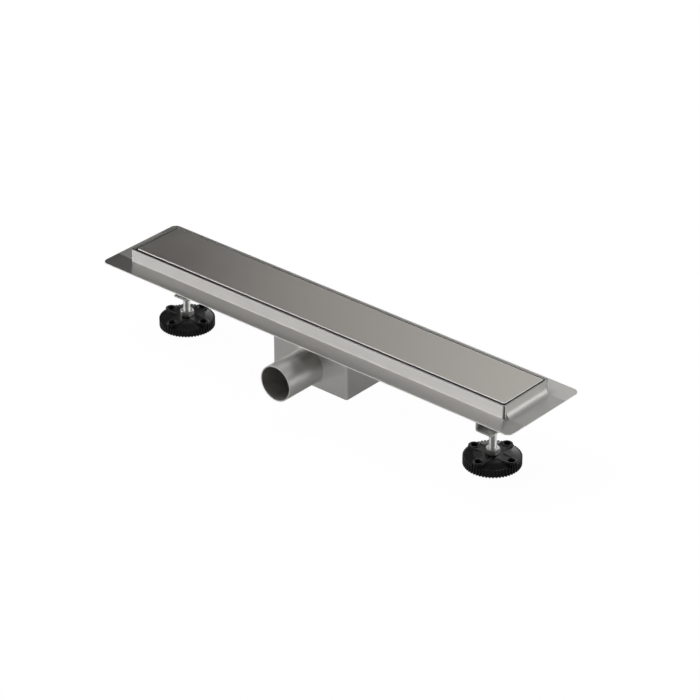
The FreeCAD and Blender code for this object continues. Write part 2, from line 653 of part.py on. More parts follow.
def foot_disc(model, side, x, y):
    body = model.body(f"{side}_foot")
    profile = model.sketch(body, "XZ_Plane", "disc_profile")
    shoulder = "(disc_diameter / 2 - disc_shoulder)"
    model.outline(profile, [
        ("0", FLOOR),
        ("disc_diameter / 2", FLOOR),
        ("disc_diameter / 2", f"{FLOOR} + disc_rim"),
        (shoulder, f"{FLOOR} + disc_rim"),
        (f"({shoulder} + hub_diameter / 2) / 2", f"{FLOOR} + (disc_rim + disc_height) / 2 + dome_crown"),
        ("hub_diameter / 2", HUB_TOP),
        ("0", HUB_TOP),
    ])
    model.turn(body, profile)
    arm = model.sketch(body, "XY_Plane", "arm", HUB_TOP)
    model.outline(arm, [
        ("0", "-arm_width / 2"),
        ("screw_circle / 2 + arm_width / 2", "-arm_width / 2", "arm_width / 2.001"),
        ("screw_circle / 2 + arm_width / 2", "arm_width / 2", "arm_width / 2.001"),
        ("0", "arm_width / 2"),
    ])
    first_arm = model.pad(body, arm, "disc_height / 2", reverse=True)
    model.polar(body, first_arm, arm, "screw_holes")
    screw = model.sketch(body, "XY_Plane", "screw_hole", HUB_TOP)
    model.circle(screw, "screw_hole", x="screw_circle / 2")
    first_hole = model.pocket(body, screw, "disc_height")
    model.polar(body, first_hole, screw, "screw_holes")
    tooth = model.sketch(body, "XY_Plane", "tooth", HUB_TOP)
    model.outline(tooth, [
        ("disc_diameter / 2 - tooth_depth", "-tooth_root / 2"),
        ("disc_diameter / 2", "-tooth_groove / 2"),
        ("disc_diameter / 2 + tooth_depth", "-tooth_groove / 2"),
        ("disc_diameter / 2 + tooth_depth", "tooth_groove / 2"),
        ("disc_diameter / 2", "tooth_groove / 2"),
        ("disc_diameter / 2 - tooth_depth", "tooth_root / 2"),
    ])
    first_tooth = model.pocket(body, tooth, "disc_height")
    model.polar(body, first_tooth, tooth, "tooth_count")
    seat = model.sketch(body, "XY_Plane", "stud_seat", HUB_TOP)
    model.circle(seat, "stud_diameter + 2 * thread_clearance")
    model.pocket(body, seat, "stud_seat + swivel_gap")
    model.place(body, x=x, y=y)


def levelling_foot(model, side, turned):
    """Bracket, its welded nut, the stud with its lock nut, and the foot at one end."""
    x = f"-{FOOT_X}" if turned else FOOT_X
    y = f"{side}_foot_offset"
    plate_depth = f"{side}_plate_depth"
    bracket(model, side, plate_depth, y, turned)
    turning_bore = "stud_diameter + 2 * thread_clearance"
    nut(model, f"{side}_weld_nut", 0, turning_bore, x, y, f"-{plate_depth} + bracket_sheet")
    stud(model, side, x, y)
    nut(model, f"{side}_lock_nut", 30, "stud_diameter", x, y, f"{HUB_TOP} + swivel_gap")
    foot_disc(model, side, x, y)


def check(model):
    """Stop if any object failed or any sub-part has no sound shape."""
    for thing in model.doc.Objects:
        if {"Invalid", "Error"} & set(thing.State):
            raise RuntimeError(f"{thing.Name} is {thing.State}")
    for body in model.parts:
        shape = body.Shape
        if shape.isNull() or not shape.isValid():
            raise RuntimeError(f"{body.Label} has no valid shape")
        if len(shape.Solids) != 1:
            raise RuntimeError(f"{body.Label} has {len(shape.Solids)} solids")


def build():
    model = Model("shower_drain")
    flange_side(model, "flange_front", "-")
    flange_side(model, "flange_back", "")
    flange_end(model, "flange_left", "-")
    flange_end(model, "flange_right", "")
    trough(model)
    sump_box(model)
    outlet_pipe(model)
    cover_plate(model)
    outer_rail = f"({COLLAR_X} - rest_end_inset)"
    inner_rail = f"({SUMP_X} + rest_sump_offset)"
    for number, place in enumerate((f"-{outer_rail}", f"-{inner_rail}", inner_rail, outer_rail), start=1):
        cover_rest(model, number, place)
    trap_insert(model)
    trap_seal(model)
    trap_cup(model)
    hair_sieve(model)
    levelling_foot(model, "left", turned=True)
    levelling_foot(model, "right", turned=False)
    model.doc.recompute()
    check(model)
    return model


def write(model):
    """One STEP file for each sub-part, named after it."""
    os.makedirs("parts", exist_ok=True)
    for body in model.parts:
        body.Shape.exportStep(os.path.join("parts", f"{body.Label}.step"))
        print(f"{body.Label:16s} volume {body.Shape.Volume:10.1f} mm3")


write(build())
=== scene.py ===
"""Looks of a linear shower drain: brushed stainless channel, side outlet and two levelling feet."""
import logging
import math
from dataclasses import dataclass
from enum import Enum

import bmesh
import bpy
import numpy as np
from mathutils import Matrix, Vector


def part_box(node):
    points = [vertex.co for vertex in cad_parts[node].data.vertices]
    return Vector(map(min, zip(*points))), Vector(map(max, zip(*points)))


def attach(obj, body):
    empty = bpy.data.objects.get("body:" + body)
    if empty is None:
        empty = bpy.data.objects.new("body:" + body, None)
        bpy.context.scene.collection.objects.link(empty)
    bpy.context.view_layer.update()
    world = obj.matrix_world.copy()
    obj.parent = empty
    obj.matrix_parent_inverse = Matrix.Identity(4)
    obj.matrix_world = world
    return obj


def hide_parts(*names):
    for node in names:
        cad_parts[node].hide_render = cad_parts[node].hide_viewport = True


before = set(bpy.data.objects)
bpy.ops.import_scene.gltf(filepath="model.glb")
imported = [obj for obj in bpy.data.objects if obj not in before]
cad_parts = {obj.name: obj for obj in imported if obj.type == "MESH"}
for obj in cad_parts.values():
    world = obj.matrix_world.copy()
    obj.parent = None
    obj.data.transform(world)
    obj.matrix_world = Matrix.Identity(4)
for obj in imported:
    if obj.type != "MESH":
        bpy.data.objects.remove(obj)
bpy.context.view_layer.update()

log = logging.getLogger("shower_drain")

Colour = tuple[float, float, float]
Socket = bpy.types.NodeSocket

MM = 0.001

# Half length and half width of the collar's middle line. Faces inside it look onto the joint and get
# painted shade.
JOINT = (320.4 * MM, 44.4 * MM)
# Share of the colour that such faces keep under the painted shade, and half the width of the change, as a
# share of the line.
JOINT_SHADE, JOINT_EDGE = 0.33, 0.0005
# Scale of a pattern along the lines of a brushed sheet, against 1 across them.
ALONG_LINES = 0.012
# Weight of the finer layers of a pattern.
FINER_WEIGHT = 0.6
# Points nearer to each other than the first are one, and edges shorter than the second are dropped.
TOUCHING, SLIVER = 1e-7, 1e-8
# Sweep in radians under which a corner counts as straight.
STRAIGHT = 1e-6


class Grain(Enum):
    """Way that the fine lines of a brushed sheet run, as the share of each axis in their direction."""

    ALONG_CHANNEL = (1.0, 0.03, 0.02)
    ACROSS_CHANNEL = (0.03, 1.0, 0.02)
    UPRIGHT = (0.03, 0.02, 1.0)
    NONE = (0.0, 0.0, 0.0)

    def stretch(self) -> tuple[float, float, float]:
        """Scale of a pattern on each axis, small along the lines."""
        return tuple(ALONG_LINES if share == 1.0 else 1.0 for share in self.value)


class Recipe:
    """Node tree of one material while it is put together."""

    def __init__(self, name: str) -> None:
        """Start an empty material.

        Args:
            name: name of the material.
        """
        self.material = bpy.data.materials.new(name)
        self.material.use_nodes = True
        self.tree = self.material.node_tree
        self.tree.nodes.clear()
        self.output = self.tree.nodes.new("ShaderNodeOutputMaterial")

    def add(self, kind: str, settings: dict | None = None, sockets: dict | None = None) -> bpy.types.Node:
        """Add a node.

        Args:
            kind: type of the node, without its ShaderNode prefix.
            settings: properties of the node.
            sockets: input names or numbers, each with a value or the output socket that feeds it.

        Returns:
            The new node.
        """
        node = self.tree.nodes.new("ShaderNode" + kind)
        for key, value in (settings or {}).items():
            setattr(node, key, value)
        for key, value in (sockets or {}).items():
            if isinstance(value, bpy.types.NodeSocket):
                self.tree.links.new(value, node.inputs[key])
            else:
                node.inputs[key].default_value = value
        return node

    def reckon(self, operation: str, first: Socket, second: Socket | float = 0.0) -> Socket:
        """Work out one value from one or two others.

        Args:
            operation: what is done with them, in Blender's word for it.
            first: first value.
            second: second value, where the operation takes one.

        Returns:
            Output of the value.
        """
        return self.add("Math", {"operation": operation}, {0: first, 1: second}).outputs[0]

    def pattern(self, grain: Grain, scale: float, detail: float) -> Socket:
        """Noise on the object's own coordinates, drawn out along the grain.

        Args:
            grain: way that the pattern runs.
            scale: size of the pattern, in waves a metre across the grain.
            detail: number of finer layers.

        Returns:
            Output of the noise, between 0 and 1.
        """
        where = self.add("TexCoord").outputs["Object"]
        scales = tuple(share * scale for share in grain.stretch())
        mapped = self.add("Mapping", None, {"Vector": where, "Scale": scales})
        noise = self.add("TexNoise", {"noise_dimensions": "3D"}, {
            "Vector": mapped.outputs[0], "Scale": 1.0, "Detail": detail, "Roughness": FINER_WEIGHT})
        return noise.outputs["Fac"]

    def spread(self, source: Socket, low: float, high: float,
               start: float = 0.3, end: float = 0.7) -> Socket:
        """Map a pattern onto a range.

        Args:
            source: pattern between 0 and 1.
            low: value at and below start.
            high: value at and above end.
            start: pattern value that gives low.
            end: pattern value that gives high.

        Returns:
            Output of the mapped value.
        """
        mapped = self.add("MapRange", None, {
            "Value": source, "From Min": start, "From Max": end, "To Min": low, "To Max": high})
        return mapped.outputs[0]

    def tint(self, source: Socket, low: Colour, high: Colour) -> Socket:
        """Blend two colours by a pattern.

        Args:
            source: pattern between 0 and 1.
            low: colour at 0.
            high: colour at 1.

        Returns:
            Output of the colour.
        """
        mix = self.add("Mix", {"data_type": "RGBA"}, {"Factor": source})
        mix.inputs["A"].default_value = (*low, 1.0)
        mix.inputs["B"].default_value = (*high, 1.0)
        return mix.outputs["Result"]

    def relief(self, source: Socket, height: float, normal: Socket | None = None) -> Socket:
        """Relief from a pattern.

        Args:
            source: pattern between 0 and 1.
            height: height of the relief in metres.
            normal: normal that the relief starts from.

        Returns:
            Output of the new normal.
        """
        bump = self.add("Bump", None, {"Height": source, "Distance": height, "Strength": 1.0})
        if normal is not None:
            self.tree.links.new(normal, bump.inputs["Normal"])
        return bump.outputs[0]

    def across(self, grain: Grain) -> Socket:
        """Direction on the surface that crosses the lines: the line's direction times the normal.

        Args:
            grain: way that the lines run.

        Returns:
            Output of the direction.
        """
        facing = self.add("NewGeometry").outputs["Normal"]
        crossed = self.add("VectorMath", {"operation": "CROSS_PRODUCT"}, {0: facing, 1: grain.value})
        return self.add("VectorMath", {"operation": "NORMALIZE"}, {0: crossed.outputs[0]}).outputs[0]

    def scaled(self, colour: Socket, factor: Socket) -> Socket:
        """Colour times a factor."""
        return self.add("VectorMath", {"operation": "SCALE"}, {0: colour, "Scale": factor}).outputs[0]

    def paint_light_upright(self, colour: Socket, gain: float) -> Socket:
        """Colour with painted light: brighter towards upright faces, as 1 + gain (1 - |normal z|).

        Args:
            colour: colour of the level faces.
            gain: share by which an upright face is brighter.

        Returns:
            Output of the colour.
        """
        facing = self.add("SeparateXYZ", None, {0: self.add("NewGeometry").outputs["Normal"]})
        level = self.reckon("ABSOLUTE", facing.outputs["Z"])
        return self.scaled(colour, self.spread(level, 1.0 + gain, 1.0, 0.0, 1.0))

    def paint_shade_within(self, colour: Socket, half: tuple[float, float]) -> Socket:
        """Colour that drops to a third inside a rectangle about the middle: painted shade in the joint
        round the cover.

        Args:
            colour: colour outside.
            half: half length and half width of the rectangle in metres.

        Returns:
            Output of the colour.
        """
        where = self.add("TexCoord").outputs["Object"]
        apart = self.add("VectorMath", {"operation": "ABSOLUTE"}, {0: where})
        shares = self.add("VectorMath", {"operation": "MULTIPLY"}, {
            0: apart.outputs[0], 1: (1 / half[0], 1 / half[1], 0.0)})
        split = self.add("SeparateXYZ", None, {0: shares.outputs[0]})
        farther = self.reckon("MAXIMUM", split.outputs["X"], split.outputs["Y"])
        factor = self.spread(farther, JOINT_SHADE, 1.0, 1.0 - JOINT_EDGE, 1.0 + JOINT_EDGE)
        return self.scaled(colour, factor)

    def soft_edges(self, radius: float) -> Socket:
        """Normal that rounds the edges within a radius in metres."""
        return self.add("Bevel", {"samples": 6}, {"Radius": radius}).outputs[0]

    def finish(self, shader: bpy.types.Node) -> bpy.types.Material:
        """Join the shader to the output and hand the material over."""
        self.tree.links.new(shader.outputs[0], self.output.inputs["Surface"])
        return self.material


@dataclass(frozen=True)
class BrushedSteel:
    """Satin stainless sheet: fine lines, slow cloudiness and slightly softer edges."""

    name: str
    grain: Grain = Grain.ALONG_CHANNEL
    colour: Colour = (0.600, 0.592, 0.572)
    worn: Colour = (0.630, 0.622, 0.602)
    roughness: float = 0.38
    lay: float = 0.85
    # Painted light: share by which upright faces are made brighter in the colour.
    painted_upright_light: float = 0.0
    # Painted shade: half size of the rectangle about the middle inside which the colour drops.
    painted_shade_within: tuple[float, float] | None = None
    variation: float = 0.015
    cloud_variation: float = 0.02
    line_scale: float = 2600.0
    streak_scale: float = 420.0
    cloud_scale: float = 22.0
    line_height: float = 0.0012 * MM
    edge: float = 0.35 * MM

    def material(self) -> bpy.types.Material:
        """Brushed metal whose colour, roughness and relief follow the lines of the grain.

        Returns:
            The material.
        """
        recipe = Recipe(self.name)
        lines = recipe.pattern(self.grain, self.line_scale, detail=2.0)
        streaks = recipe.pattern(self.grain, self.streak_scale, detail=3.0)
        clouds = recipe.pattern(Grain.NONE, self.cloud_scale, detail=2.0)
        normal = recipe.relief(lines, self.line_height, recipe.soft_edges(self.edge))
        fine = recipe.spread(streaks, self.roughness - self.variation, self.roughness + self.variation)
        slow = recipe.spread(clouds, -self.cloud_variation, self.cloud_variation)
        rough = recipe.reckon("ADD", fine, slow)
        colour = recipe.tint(streaks, self.colour, self.worn)
        # Painted light: upright faces brighter in the colour, where set.
        if self.painted_upright_light:
            colour = recipe.paint_light_upright(colour, self.painted_upright_light)
        # Painted shade inside the joint, where set.
        if self.painted_shade_within:
            colour = recipe.paint_shade_within(colour, self.painted_shade_within)
        shader = recipe.add("BsdfPrincipled", None, {
            "Base Color": colour, "Roughness": rough, "Normal": normal, "Metallic": 1.0})
        if self.grain is not Grain.NONE:
            shader.inputs["Anisotropic"].default_value = self.lay
            recipe.tree.links.new(recipe.across(self.grain), shader.inputs["Tangent"])
        return recipe.finish(shader)


@dataclass(frozen=True)
class ZincedSteel:
    """Bright zinc on turned or pressed steel, a little cloudy."""

    name: str
    colour: Colour = (0.95, 0.94, 0.92)
    dull: Colour = (0.82, 0.82, 0.81)
    roughness: float = 0.42
    smoother: float = 0.06
    rougher: float = 0.1
    cloud_scale: float = 420.0
    cloud_height: float = 0.01 * MM
    edge: float = 0.2 * MM

    def material(self) -> bpy.types.Material:
        """Metal with cloudy colour and roughness.

        Returns:
            The material.
        """
        recipe = Recipe(self.name)
        clouds = recipe.pattern(Grain.NONE, self.cloud_scale, detail=4.0)
        rough = recipe.spread(clouds, self.roughness - self.smoother, self.roughness + self.rougher)
        shader = recipe.add("BsdfPrincipled", None, {
            "Base Color": recipe.tint(clouds, self.colour, self.dull),
            "Roughness": rough,
            "Normal": recipe.relief(clouds, self.cloud_height, recipe.soft_edges(self.edge)),
            "Metallic": 1.0})
        return recipe.finish(shader)


@dataclass(frozen=True)
class MouldedPlastic:
    """Injection-moulded plastic with a fine spark-eroded skin."""

    name: str
    colour: Colour = (0.006, 0.006, 0.0065)
    faded: Colour = (0.010, 0.010, 0.0105)
    roughness: float = 0.34
    variation: float = 0.06
    shine: float = 0.4
    skin_scale: float = 1400.0
    cloud_scale: float = 90.0
    skin_height: float = 0.02 * MM
    edge: float = 0.4 * MM

    def material(self) -> bpy.types.Material:
        """Plastic with a grainy skin and slightly uneven gloss.

        Returns:
            The material.
        """
        recipe = Recipe(self.name)
        skin = recipe.pattern(Grain.NONE, self.skin_scale, detail=3.0)
        clouds = recipe.pattern(Grain.NONE, self.cloud_scale, detail=2.0)
        rough = recipe.spread(clouds, self.roughness - self.variation, self.roughness + self.variation)
        shader = recipe.add("BsdfPrincipled", None, {
            "Base Color": recipe.tint(clouds, self.colour, self.faded),
            "Roughness": rough,
            "Normal": recipe.relief(skin, self.skin_height, recipe.soft_edges(self.edge)),
            "Specular IOR Level": self.shine})
        return recipe.finish(shader)


@dataclass(frozen=True)
class SoftRubber:
    """Matt rubber with a dusty bloom."""

    name: str
    colour: Colour = (0.018, 0.018, 0.018)
    bloom: Colour = (0.045, 0.045, 0.045)
    smoothest: float = 0.72
    roughest: float = 0.9
    patch_scale: float = 160.0
    patch_height: float = 0.03 * MM

    def material(self) -> bpy.types.Material:
        """Rubber whose bloom is patchy.

        Returns:
            The material.
        """
        recipe = Recipe(self.name)
        patches = recipe.pattern(Grain.NONE, self.patch_scale, detail=4.0)
        shader = recipe.add("BsdfPrincipled", None, {
            "Base Color": recipe.tint(patches, self.colour, self.bloom),
            "Roughness": recipe.spread(patches, self.smoothest, self.roughest),
            "Normal": recipe.relief(patches, self.patch_height)})
        return recipe.finish(shader)


@dataclass(frozen=True)
class StudioFloor:
    """Floor that looks almost white to the camera and dull in reflections, and keeps a faint shadow."""

    name: str = "studio_floor"
    colour: Colour = (0.5, 0.5, 0.5)
    seen_white: float = 0.92
    mirrored_white: float = 0.06
    white_level: float = 1.06

    def material(self) -> bpy.types.Material:
        """Diffuse floor mixed with white light, by a share for each kind of ray that looks at it.

        Returns:
            The material.
        """
        recipe = Recipe(self.name)
        rays = recipe.add("LightPath").outputs
        seen = recipe.reckon("MULTIPLY", rays["Is Camera Ray"], self.seen_white)
        bounced = recipe.reckon("ADD", rays["Is Glossy Ray"], rays["Is Transmission Ray"])
        share = recipe.reckon("ADD", seen, recipe.reckon("MULTIPLY", bounced, self.mirrored_white))
        matt = recipe.add("BsdfDiffuse", None, {"Color": (*self.colour, 1.0)})
        white = recipe.add("Emission", None, {"Color": (1.0,) * 4, "Strength": self.white_level})
        mix = recipe.add("MixShader", None, {0: share, 1: matt.outputs[0], 2: white.outputs[0]})
        return recipe.finish(mix)


def dress(material: bpy.types.Material, *nodes: str) -> None:
    """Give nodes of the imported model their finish.

    Args:
        material: the finish.
        nodes: names of the nodes.
    """
    for node in nodes:
        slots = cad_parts[node].data.materials
        slots.clear()
        slots.append(material)
        log.info("dressed %s in %s", node, material.name)


def rounded(corners: np.ndarray, radii: np.ndarray, steps: int) -> np.ndarray:
    """Closed outline with round corners.

    At each corner the arc's points are c + r (n0 cos a + n1 sin a), where c lies on the corner's
    bisector at r over the sine of half the angle, and the arc runs between the feet on both sides.

    Args:
        corners: corner points, one row each.
        radii: radius of each corner, 0 for a sharp one.
        steps: points on each arc.

    Returns:
        Points of the outline, one row each.
    """
    back = np.roll(corners, 1, axis=0) - corners
    ahead = np.roll(corners, -1, axis=0) - corners
    back /= np.linalg.norm(back, axis=1, keepdims=True)
    ahead /= np.linalg.norm(ahead, axis=1, keepdims=True)
    half = np.arccos(np.clip((back * ahead).sum(axis=1), -1.0, 1.0)) / 2
    reach = (radii / np.tan(half))[:, None]
    start, end = corners + back * reach, corners + ahead * reach
    bisector = back + ahead
    bisector /= np.linalg.norm(bisector, axis=1, keepdims=True)
    centre = corners + bisector * (radii / np.sin(half))[:, None]
    share = np.linspace(0.0, 1.0, steps)[None, :, None]
    sweep = (np.pi - 2 * half)[:, None, None]
    blend = np.where(sweep > STRAIGHT, np.sin((1 - share) * sweep) / np.sin(sweep), 1 - share)
    other = np.where(sweep > STRAIGHT, np.sin(share * sweep) / np.sin(sweep), share)
    arcs = centre[:, None] + blend * (start - centre)[:, None] + other * (end - centre)[:, None]
    return arcs.reshape(-1, corners.shape[1])


def surface(name: str, grid: np.ndarray, closed: tuple[bool, bool],
            smooth_angle: float) -> bpy.types.Object:
    """Mesh of a grid of points, with its doubles merged.

    Args:
        name: name of the object.
        grid: points, by row and column.
        closed: whether the last row joins the first, and the last column the first.
        smooth_angle: edges flatter than this many degrees are shaded smooth.

    Returns:
        The new object, in the scene.
    """
    rows, columns = grid.shape[:2]
    row = np.arange(rows if closed[0] else rows - 1)
    column = np.arange(columns if closed[1] else columns - 1)
    r, c = (a.ravel() for a in np.meshgrid(row, column, indexing="ij"))
    r1, c1 = (r + 1) % rows, (c + 1) % columns
    faces = np.stack([r * columns + c, r1 * columns + c, r1 * columns + c1, r * columns + c1], axis=1)
    mesh = bpy.data.meshes.new(name)
    mesh.from_pydata(grid.reshape(-1, 3).tolist(), [], faces.tolist())
    form = bmesh.new()
    form.from_mesh(mesh)
    bmesh.ops.remove_doubles(form, verts=form.verts, dist=TOUCHING)
    bmesh.ops.dissolve_degenerate(form, edges=form.edges, dist=SLIVER)
    bmesh.ops.recalc_face_normals(form, faces=form.faces)
    form.to_mesh(mesh)
    form.free()
    mesh.shade_smooth()
    mesh.set_sharp_from_angle(angle=math.radians(smooth_angle))
    thing = bpy.data.objects.new(name, mesh)
    bpy.context.scene.collection.objects.link(thing)
    return thing


def hand_over(piece: bpy.types.Object, body: str, material: bpy.types.Material,
              nodes: tuple[str, ...] = ()) -> None:
    """Dress a new piece and hang it on its body.

    Args:
        piece: the new piece.
        body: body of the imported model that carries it.
        material: the finish.
        nodes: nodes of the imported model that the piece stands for.
    """
    piece.data.materials.clear()
    piece.data.materials.append(material)
    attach(piece, body)
    if nodes:
        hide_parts(*nodes)
    log.info("made %s on %s, %d faces", piece.name, body, len(piece.data.polygons))


@dataclass
class Cover:
    """Plain cover: a shallow tray turned upside down, with a softly folded edge."""

    sheet: float = 1.5 * MM
    edge: float = 1.0 * MM
    corner: float = 2.4 * MM
    cut_edge: float = 0.15 * MM
    hold: float = 0.4 * MM
    corner_steps: int = 9
    fold_points: int = 9
    level_from: float = 0.98
    fold_from: float = 0.1
    finish: BrushedSteel = BrushedSteel(
        "stainless_cover", colour=(0.600, 0.573, 0.530), worn=(0.620, 0.592, 0.548))
    # Painted highlight: the folded edge gets a near-white colour so it shows as a bright line.
    fold_highlight: BrushedSteel = BrushedSteel(
        "stainless_cover_fold_highlight", Grain.NONE, colour=(0.90, 0.88, 0.85), worn=(0.94, 0.92, 0.89),
        roughness=0.5)
    # Painted shade: the rim and underside get a dark colour for the shade in the slot round the cover.
    dull: BrushedSteel = BrushedSteel(
        "stainless_cover_rim_shade", Grain.NONE, colour=(0.22, 0.21, 0.20), worn=(0.25, 0.24, 0.23),
        roughness=0.5)

    def section(self, drop: float) -> np.ndarray:
        """Section of the rim as pairs of inset from the outside and height under the top.

        From the flat top the line follows e (1 - sin a), -e (1 - cos a) round the folded edge, then
        down the rim, round its cut edge and up inside to the underside of the top.

        Args:
            drop: height of the rim.

        Returns:
            Points of the section, one row each.
        """
        a = np.linspace(0.0, np.pi / 2, self.fold_points)
        fold = np.stack([self.edge * (1 - np.sin(a)), -self.edge * (1 - np.cos(a))], axis=1)
        c, h, t = self.cut_edge, self.hold, self.sheet
        top = np.array([[self.edge + h, 0.0]])
        rim = np.array([[0.0, -self.edge - h], [0.0, c - drop], [c, -drop], [t - c, -drop], [t, c - drop],
                        [t, -t - h], [t, -t], [t + h, -t]])
        return np.concatenate([top, fold, rim])

    def tray(self) -> bpy.types.Object:
        """Tray as its section carried round a rounded rectangle and closed along the middle line.

        Returns:
            The cover.
        """
        low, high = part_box("cover_plate")
        centre = np.array([low.x + high.x, low.y + high.y]) / 2
        half = np.array([high.x - low.x, high.y - low.y]) / 2
        signs = np.array([[1.0, 1.0], [-1.0, 1.0], [-1.0, -1.0], [1.0, -1.0]])
        rings = []
        for inset, height in self.section(high.z - low.z):
            radius = max(self.corner - inset, self.cut_edge)
            outline = rounded(signs * (half - inset), np.full(4, radius), self.corner_steps) + centre
            rings.append(np.column_stack([outline, np.full(len(outline), high.z + height)]))
        ends = []
        for ring in (rings[0], rings[-1]):
            line = ring.copy()
            line[:, 0] = np.clip(ring[:, 0], centre[0] - half[0] + half[1], centre[0] + half[0] - half[1])
            line[:, 1] = centre[1]
            ends.append(line)
        grid = np.stack([ends[0], *rings, ends[1]])
        return surface("cover_tray", grid, closed=(False, True), smooth_angle=50.0)

    def mark_faces(self, tray: bpy.types.Object) -> None:
        """Give the level top the first finish, the fold round it the second, a painted highlight, and the
        rest the third, painted shade.

        Args:
            tray: the cover, with its three finishes.
        """
        count = len(tray.data.polygons)
        normals, centres = np.empty(count * 3), np.empty(count * 3)
        tray.data.polygons.foreach_get("normal", normals)
        tray.data.polygons.foreach_get("center", centres)
        up, height = normals[2::3], centres[2::3]
        fold = (up > self.fold_from) & (height > height.max() - self.edge)
        finish = np.select([up > self.level_from, fold], [0, 1], 2)
        tray.data.polygons.foreach_set("material_index", finish.astype(np.int32))

    def build(self) -> None:
        """Make the cover in place of its node."""
        tray = self.tray()
        hand_over(tray, "drain", self.finish.material(), ("cover_plate",))
        tray.data.materials.append(self.fold_highlight.material())
        tray.data.materials.append(self.dull.material())
        self.mark_faces(tray)


@dataclass
class Outlet:
    """Bead of weld round the root of the outlet pipe."""

    leg: float = 1.5 * MM
    flare: float = 1.6 * MM
    sink: float = 0.2 * MM
    ripple: float = 0.12 * MM
    ripples: int = 84
    ripple_points: int = 4
    across_points: int = 7
    finish: BrushedSteel = BrushedSteel(
        "weld_bead", Grain.NONE, colour=(0.90, 0.89, 0.86), worn=(0.84, 0.83, 0.80), roughness=0.45)

    def bead(self) -> bpy.types.Object:
        """Bead as a bulging fillet whose size swells with every ripple.

        At angle a round the pipe and b across the bead the point lies s(a) (cos b, sin b) from the
        root's corner, with s(a) = leg + ripple |sin(n a / 2)|. The section closes at a point sunk into
        the pipe and the wall. The pipe's own radius is its box's half less the flare at its root.

        Returns:
            The bead.
        """
        low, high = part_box("outlet_pipe")
        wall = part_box("sump_box")[0].y
        middle = (low.x + high.x) / 2
        pipe = (high.x - low.x) / 2 - self.flare
        axis = (low.z + high.z) / 2
        a = np.linspace(0.0, 2 * np.pi, self.ripples * self.ripple_points, endpoint=False)[:, None]
        b = np.linspace(0.0, np.pi / 2, self.across_points)[None, :]
        size = self.leg + self.ripple * np.abs(np.sin(self.ripples * a / 2))
        sunk = np.broadcast_to(-self.sink, a.shape)
        radius = pipe + np.concatenate([size * np.cos(b), sunk], axis=1)
        out = np.concatenate([size * np.sin(b), sunk], axis=1)
        grid = np.stack([middle + radius * np.cos(a), wall - out, axis + radius * np.sin(a)], axis=2)
        return surface("outlet_weld_bead", grid, closed=(True, True), smooth_angle=60.0)

    def build(self) -> None:
        """Make the bead on the drain."""
        hand_over(self.bead(), "drain", self.finish.material())


class Side(Enum):
    """The two ends of the drain."""

    LEFT = "left"
    RIGHT = "right"


@dataclass
class Channel:
    """Folded sheet parts: flange and collar, trough, sump, outlet and what carries the cover."""

    # All these parts are one stainless steel; their base colours differ part by part as painted light and
    # shade, darker on the flange front and ends, lighter on the sump and the pipe.
    trough: BrushedSteel = BrushedSteel("stainless_trough")
    front: BrushedSteel = BrushedSteel(
        "stainless_sheet", colour=(0.440, 0.432, 0.418), worn=(0.465, 0.457, 0.443),
        painted_upright_light=1.10, painted_shade_within=JOINT)
    back: BrushedSteel = BrushedSteel("stainless_back_sheet", painted_upright_light=0.40, painted_shade_within=JOINT)
    ends: BrushedSteel = BrushedSteel(
        "stainless_end_sheet", Grain.ACROSS_CHANNEL, colour=(0.550, 0.543, 0.526),
        worn=(0.575, 0.568, 0.551), roughness=0.50, lay=0.6, painted_upright_light=0.02, painted_shade_within=JOINT)
    sump: BrushedSteel = BrushedSteel(
        "stainless_sump", Grain.UPRIGHT, colour=(0.800, 0.790, 0.765), worn=(0.830, 0.820, 0.795))
    pipe: BrushedSteel = BrushedSteel(
        "stainless_pipe", Grain.ACROSS_CHANNEL, colour=(0.760, 0.750, 0.725),
        worn=(0.790, 0.780, 0.755), roughness=0.46, lay=0.3)
    strip: SoftRubber = SoftRubber("rubber_strip")

    def dress_nodes(self) -> None:
        """Give each folded part its brushed finish, and the strips their rubber."""
        dress(self.trough.material(), "trough", *(f"cover_rail_{number}" for number in range(1, 5)))
        dress(self.front.material(), "flange_front")
        dress(self.back.material(), "flange_back")
        dress(self.ends.material(), "flange_left", "flange_right")
        dress(self.sump.material(), "sump_box")
        dress(self.pipe.material(), "outlet_pipe")
        dress(self.strip.material(), *(f"rest_strip_{number}" for number in range(1, 5)))


@dataclass
class Trap:
    """Water seal in the sump: insert, seal, cup and hair sieve."""

    moulding: MouldedPlastic = MouldedPlastic(
        "trap_moulding", colour=(0.70, 0.70, 0.69), faded=(0.76, 0.76, 0.75), roughness=0.42)
    seal: SoftRubber = SoftRubber("seal_rubber")
    sieve: BrushedSteel = BrushedSteel("sieve_steel", Grain.NONE, roughness=0.22)

    def dress_nodes(self) -> None:
        """Give each part of the trap its finish."""
        dress(self.moulding.material(), "trap_insert", "trap_cup")
        dress(self.seal.material(), "trap_seal")
        dress(self.sieve.material(), "hair_sieve")


